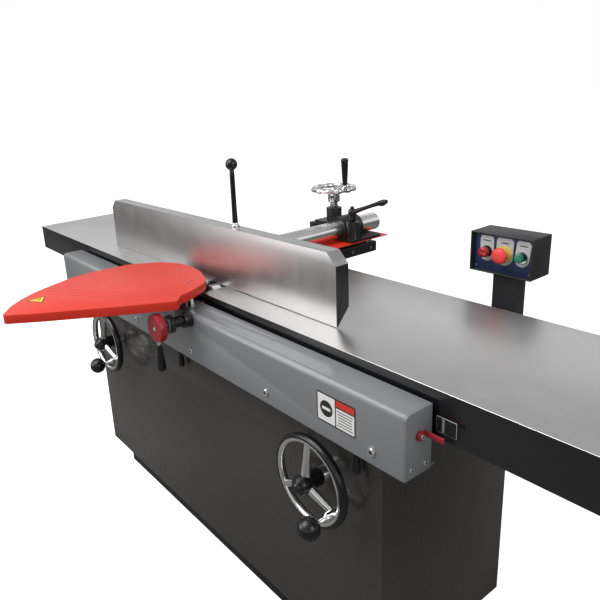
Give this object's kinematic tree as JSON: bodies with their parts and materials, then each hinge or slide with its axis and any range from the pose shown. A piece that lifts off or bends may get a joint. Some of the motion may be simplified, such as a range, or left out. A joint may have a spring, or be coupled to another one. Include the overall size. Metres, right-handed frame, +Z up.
{
  "type": "jointer",
  "caption": "Wide parallelogram jointer with long cast tables, a tilting sliding fence, a swinging red cutter guard and a control pendant.",
  "frame": {"origin": "on the floor below the cutterhead's axis, at the middle of the tables' width", "axes": "+X along the tables towards the infeed end, -Y towards the operator, +Z up"},
  "size_m": [2.45, 1.1719, 1.1915],
  "materials": {
    "ground_iron": "ground bright",
    "black_casting": "gloss black enamel",
    "charcoal_paint": "semi gloss charcoal enamel",
    "grey_paint": "satin blue grey enamel",
    "red_paint": "gloss red enamel",
    "chrome": "polished",
    "machined_steel": "machined",
    "black_plastic": "moulded, gloss",
    "rubber": "matt",
    "blue_panel": "matt navy",
    "red_plastic": "gloss",
    "green_plastic": "gloss"
  },
  "bodies": {
    "root": {"base_plinth": "black_casting", "cabinet_shell": "charcoal_paint", "rear_access_panel": "charcoal_paint", "dust_port": "black_plastic", "bed_casting": "black_casting", "front_bearing_block": "black_casting", "rear_bearing_block": "black_casting", "motor_body": "grey_paint", "motor_bracket": "black_casting", "drive_belt": "rubber", "belt_guard": "black_casting", "apron_cover": "grey_paint", "apron_end_left": "grey_paint", "apron_end_right": "grey_paint", "depth_pointer": "red_paint", "guard_bracket": "black_casting", "bar_bracket": "black_casting", "bar_clamp": "black_casting", "control_post": "black_casting", "control_box": "black_casting", "control_panel": "blue_panel"},
    "cutterhead": {"cutterhead_drum": "machined_steel", "cutterhead_pulley": "machined_steel"},
    "motor_rotor": {"motor_pulley": "machined_steel"},
    "infeed": {"infeed_table": "ground_iron"},
    "outfeed": {"outfeed_table": "ground_iron"},
    "infeed_shaft_1": {"infeed_lift_shaft_1": "machined_steel"},
    "infeed_shaft_2": {"infeed_lift_shaft_2": "machined_steel"},
    "outfeed_shaft_1": {"outfeed_lift_shaft_1": "machined_steel"},
    "outfeed_shaft_2": {"outfeed_lift_shaft_2": "machined_steel"},
    "infeed_wheel": {"infeed_handwheel": "chrome"},
    "infeed_knob": {"infeed_wheel_knob": "black_plastic"},
    "outfeed_wheel": {"outfeed_handwheel": "chrome"},
    "outfeed_knob": {"outfeed_wheel_knob": "black_plastic"},
    "infeed_lock": {"infeed_lock_lever": "black_plastic"},
    "outfeed_lock": {"outfeed_lock_lever": "black_plastic"},
    "post": {"guard_post": "chrome"},
    "guard": {"guard_plate": "red_paint"},
    "guard_clamp": {"guard_clamp_hub": "red_paint", "guard_clamp_grip": "black_plastic"},
    "guard_knob": {"guard_lock_knob": "black_plastic"},
    "carriage": {"fence_carriage": "black_casting", "fence_bar": "chrome", "rear_guard_plate": "red_paint", "fence_hinge_pin": "machined_steel"},
    "fence": {"fence_plate": "ground_iron", "fence_handle_rod": "black_plastic", "fence_handle_ball": "black_plastic"},
    "tilt_lock": {"tilt_lock_lever": "black_plastic"},
    "fence_wheel": {"pinion_shaft": "machined_steel", "fence_handwheel": "chrome"},
    "wheel_grip": {"fence_wheel_grip": "black_plastic"},
    "bar_lock": {"clamp_lever": "black_plastic"},
    "stop": {"stop_button": "red_plastic"},
    "emergency": {"emergency_button": "red_plastic"},
    "start": {"start_button": "green_plastic"}
  },
  "joints": [
    {"name": "cutterhead_spin", "type": "hinge", "parent": "root", "child": "cutterhead", "pos_m": [0, 0, 0.7995], "axis": [0, 1, 0], "continuous": true},
    {"name": "motor_spin", "type": "hinge", "parent": "root", "child": "motor_rotor", "pos_m": [0, 0, 0.3195], "axis": [0, 1, 0], "continuous": true},
    {"name": "infeed_height", "type": "slide", "parent": "root", "child": "infeed", "axis": [0, 0, 1], "range_m": [-0.0065, 0.0015]},
    {"name": "outfeed_height", "type": "slide", "parent": "root", "child": "outfeed", "axis": [0, 0, 1], "range_m": [-0.003, 0]},
    {"name": "infeed_shaft_1_turn", "type": "hinge", "parent": "root", "child": "infeed_shaft_1", "pos_m": [0.16, 0, 0.737], "axis": [0, -1, 0], "range_deg": [-8.78, 2.41]},
    {"name": "infeed_shaft_2_turn", "type": "hinge", "parent": "root", "child": "infeed_shaft_2", "pos_m": [0.56, 0, 0.737], "axis": [0, -1, 0], "range_deg": [-8.78, 2.41]},
    {"name": "infeed_wheel_turn", "type": "hinge", "parent": "root", "child": "infeed_wheel", "pos_m": [0.53, -0.285, 0.575], "axis": [0, 1, 0], "range_deg": [-150.97, 36.38]},
    {"name": "infeed_knob_spin", "type": "hinge", "parent": "infeed_wheel", "child": "infeed_knob", "pos_m": [0.59997, -0.355, 0.53621], "axis": [0, 1, 0], "continuous": true},
    {"name": "outfeed_shaft_1_turn", "type": "hinge", "parent": "root", "child": "outfeed_shaft_1", "pos_m": [-0.16, 0, 0.737], "axis": [0, -1, 0], "range_deg": [-4.32, 0.5]},
    {"name": "outfeed_shaft_2_turn", "type": "hinge", "parent": "root", "child": "outfeed_shaft_2", "pos_m": [-0.56, 0, 0.737], "axis": [0, -1, 0], "range_deg": [-4.32, 0.5]},
    {"name": "outfeed_wheel_turn", "type": "hinge", "parent": "root", "child": "outfeed_wheel", "pos_m": [-0.47, -0.285, 0.575], "axis": [0, 1, 0], "range_deg": [-70.75, 2]},
    {"name": "outfeed_knob_spin", "type": "hinge", "parent": "outfeed_wheel", "child": "outfeed_knob", "pos_m": [-0.40003, -0.355, 0.53621], "axis": [0, 1, 0], "continuous": true},
    {"name": "outfeed_lock_turn", "type": "hinge", "parent": "root", "child": "outfeed_lock", "pos_m": [-0.049, -0.2263, 0.68], "axis": [0, 1, 0], "range_deg": [-45, 45]},
    {"name": "infeed_lock_turn", "type": "hinge", "parent": "root", "child": "infeed_lock", "pos_m": [0.62, -0.2263, 0.68], "axis": [0, 1, 0], "range_deg": [-45, 45]},
    {"name": "guard_lift", "type": "slide", "parent": "root", "child": "post", "axis": [0, 0, 1], "range_m": [0, 0.045]},
    {"name": "guard_swing", "type": "hinge", "parent": "post", "child": "guard", "pos_m": [0.057, -0.256, 0.858], "axis": [0, 0, 1], "range_deg": [0, 60], "stiffness_Nm_per_rad": 2, "springref_deg": -20.05},
    {"name": "guard_clamp_turn", "type": "hinge", "parent": "root", "child": "guard_clamp", "pos_m": [0.095, -0.3865, 0.815], "axis": [0, -1, 0], "range_deg": [0, 60]},
    {"name": "guard_lock_knob_turn", "type": "hinge", "parent": "root", "child": "guard_knob", "pos_m": [0.095, -0.352, 0.815], "axis": [0, 1, 0], "range_deg": [0, 360]},
    {"name": "fence_slide", "type": "slide", "parent": "root", "child": "carriage", "axis": [0, 1, 0], "range_m": [0, 0.265]},
    {"name": "fence_tilt", "type": "hinge", "parent": "carriage", "child": "fence", "pos_m": [0, -0.1225, 0.8625], "axis": [-1, 0, 0], "range_deg": [0, 45]},
    {"name": "tilt_lock_turn", "type": "hinge", "parent": "carriage", "child": "tilt_lock", "pos_m": [0.098, -0.02, 0.8783], "axis": [0, 0, 1], "range_deg": [0, 90]},
    {"name": "fence_handwheel_turn", "type": "hinge", "parent": "root", "child": "fence_wheel", "pos_m": [-0.04874, 0.361, 0.9155], "axis": [0, 0, 1], "range_deg": [-1, 610.34]},
    {"name": "wheel_grip_spin", "type": "hinge", "parent": "fence_wheel", "child": "wheel_grip", "pos_m": [0.01262, 0.34907, 1.0515], "axis": [0, 0, 1], "continuous": true},
    {"name": "bar_lock_turn", "type": "hinge", "parent": "root", "child": "bar_lock", "pos_m": [0.046, 0.345, 0.9443], "axis": [0, 0, 1], "range_deg": [-60, 45]},
    {"name": "stop_press", "type": "slide", "parent": "root", "child": "stop", "axis": [0, 1, 0], "range_m": [0, 0.004], "stiffness_N_per_m": 600},
    {"name": "emergency_press", "type": "slide", "parent": "root", "child": "emergency", "axis": [0, 1, 0], "range_m": [0, 0.004], "stiffness_N_per_m": 900},
    {"name": "start_press", "type": "slide", "parent": "root", "child": "start", "axis": [0, 1, 0], "range_m": [0, 0.004], "stiffness_N_per_m": 600}
  ],
  "couplings": [
    {"joint": "motor_spin", "follows": "cutterhead_spin", "ratio": 0.5},
    {"joint": "infeed_shaft_1_turn", "follows": "infeed_height", "rad_per_m": 22.222},
    {"joint": "infeed_shaft_2_turn", "follows": "infeed_height", "rad_per_m": 22.222},
    {"joint": "infeed_wheel_turn", "follows": "infeed_height", "rad_per_m": 400},
    {"joint": "outfeed_shaft_1_turn", "follows": "outfeed_height", "rad_per_m": 22.222},
    {"joint": "outfeed_shaft_2_turn", "follows": "outfeed_height", "rad_per_m": 22.222},
    {"joint": "outfeed_wheel_turn", "follows": "outfeed_height", "rad_per_m": 400},
    {"joint": "fence_handwheel_turn", "follows": "fence_slide", "rad_per_m": 40}
  ]
}
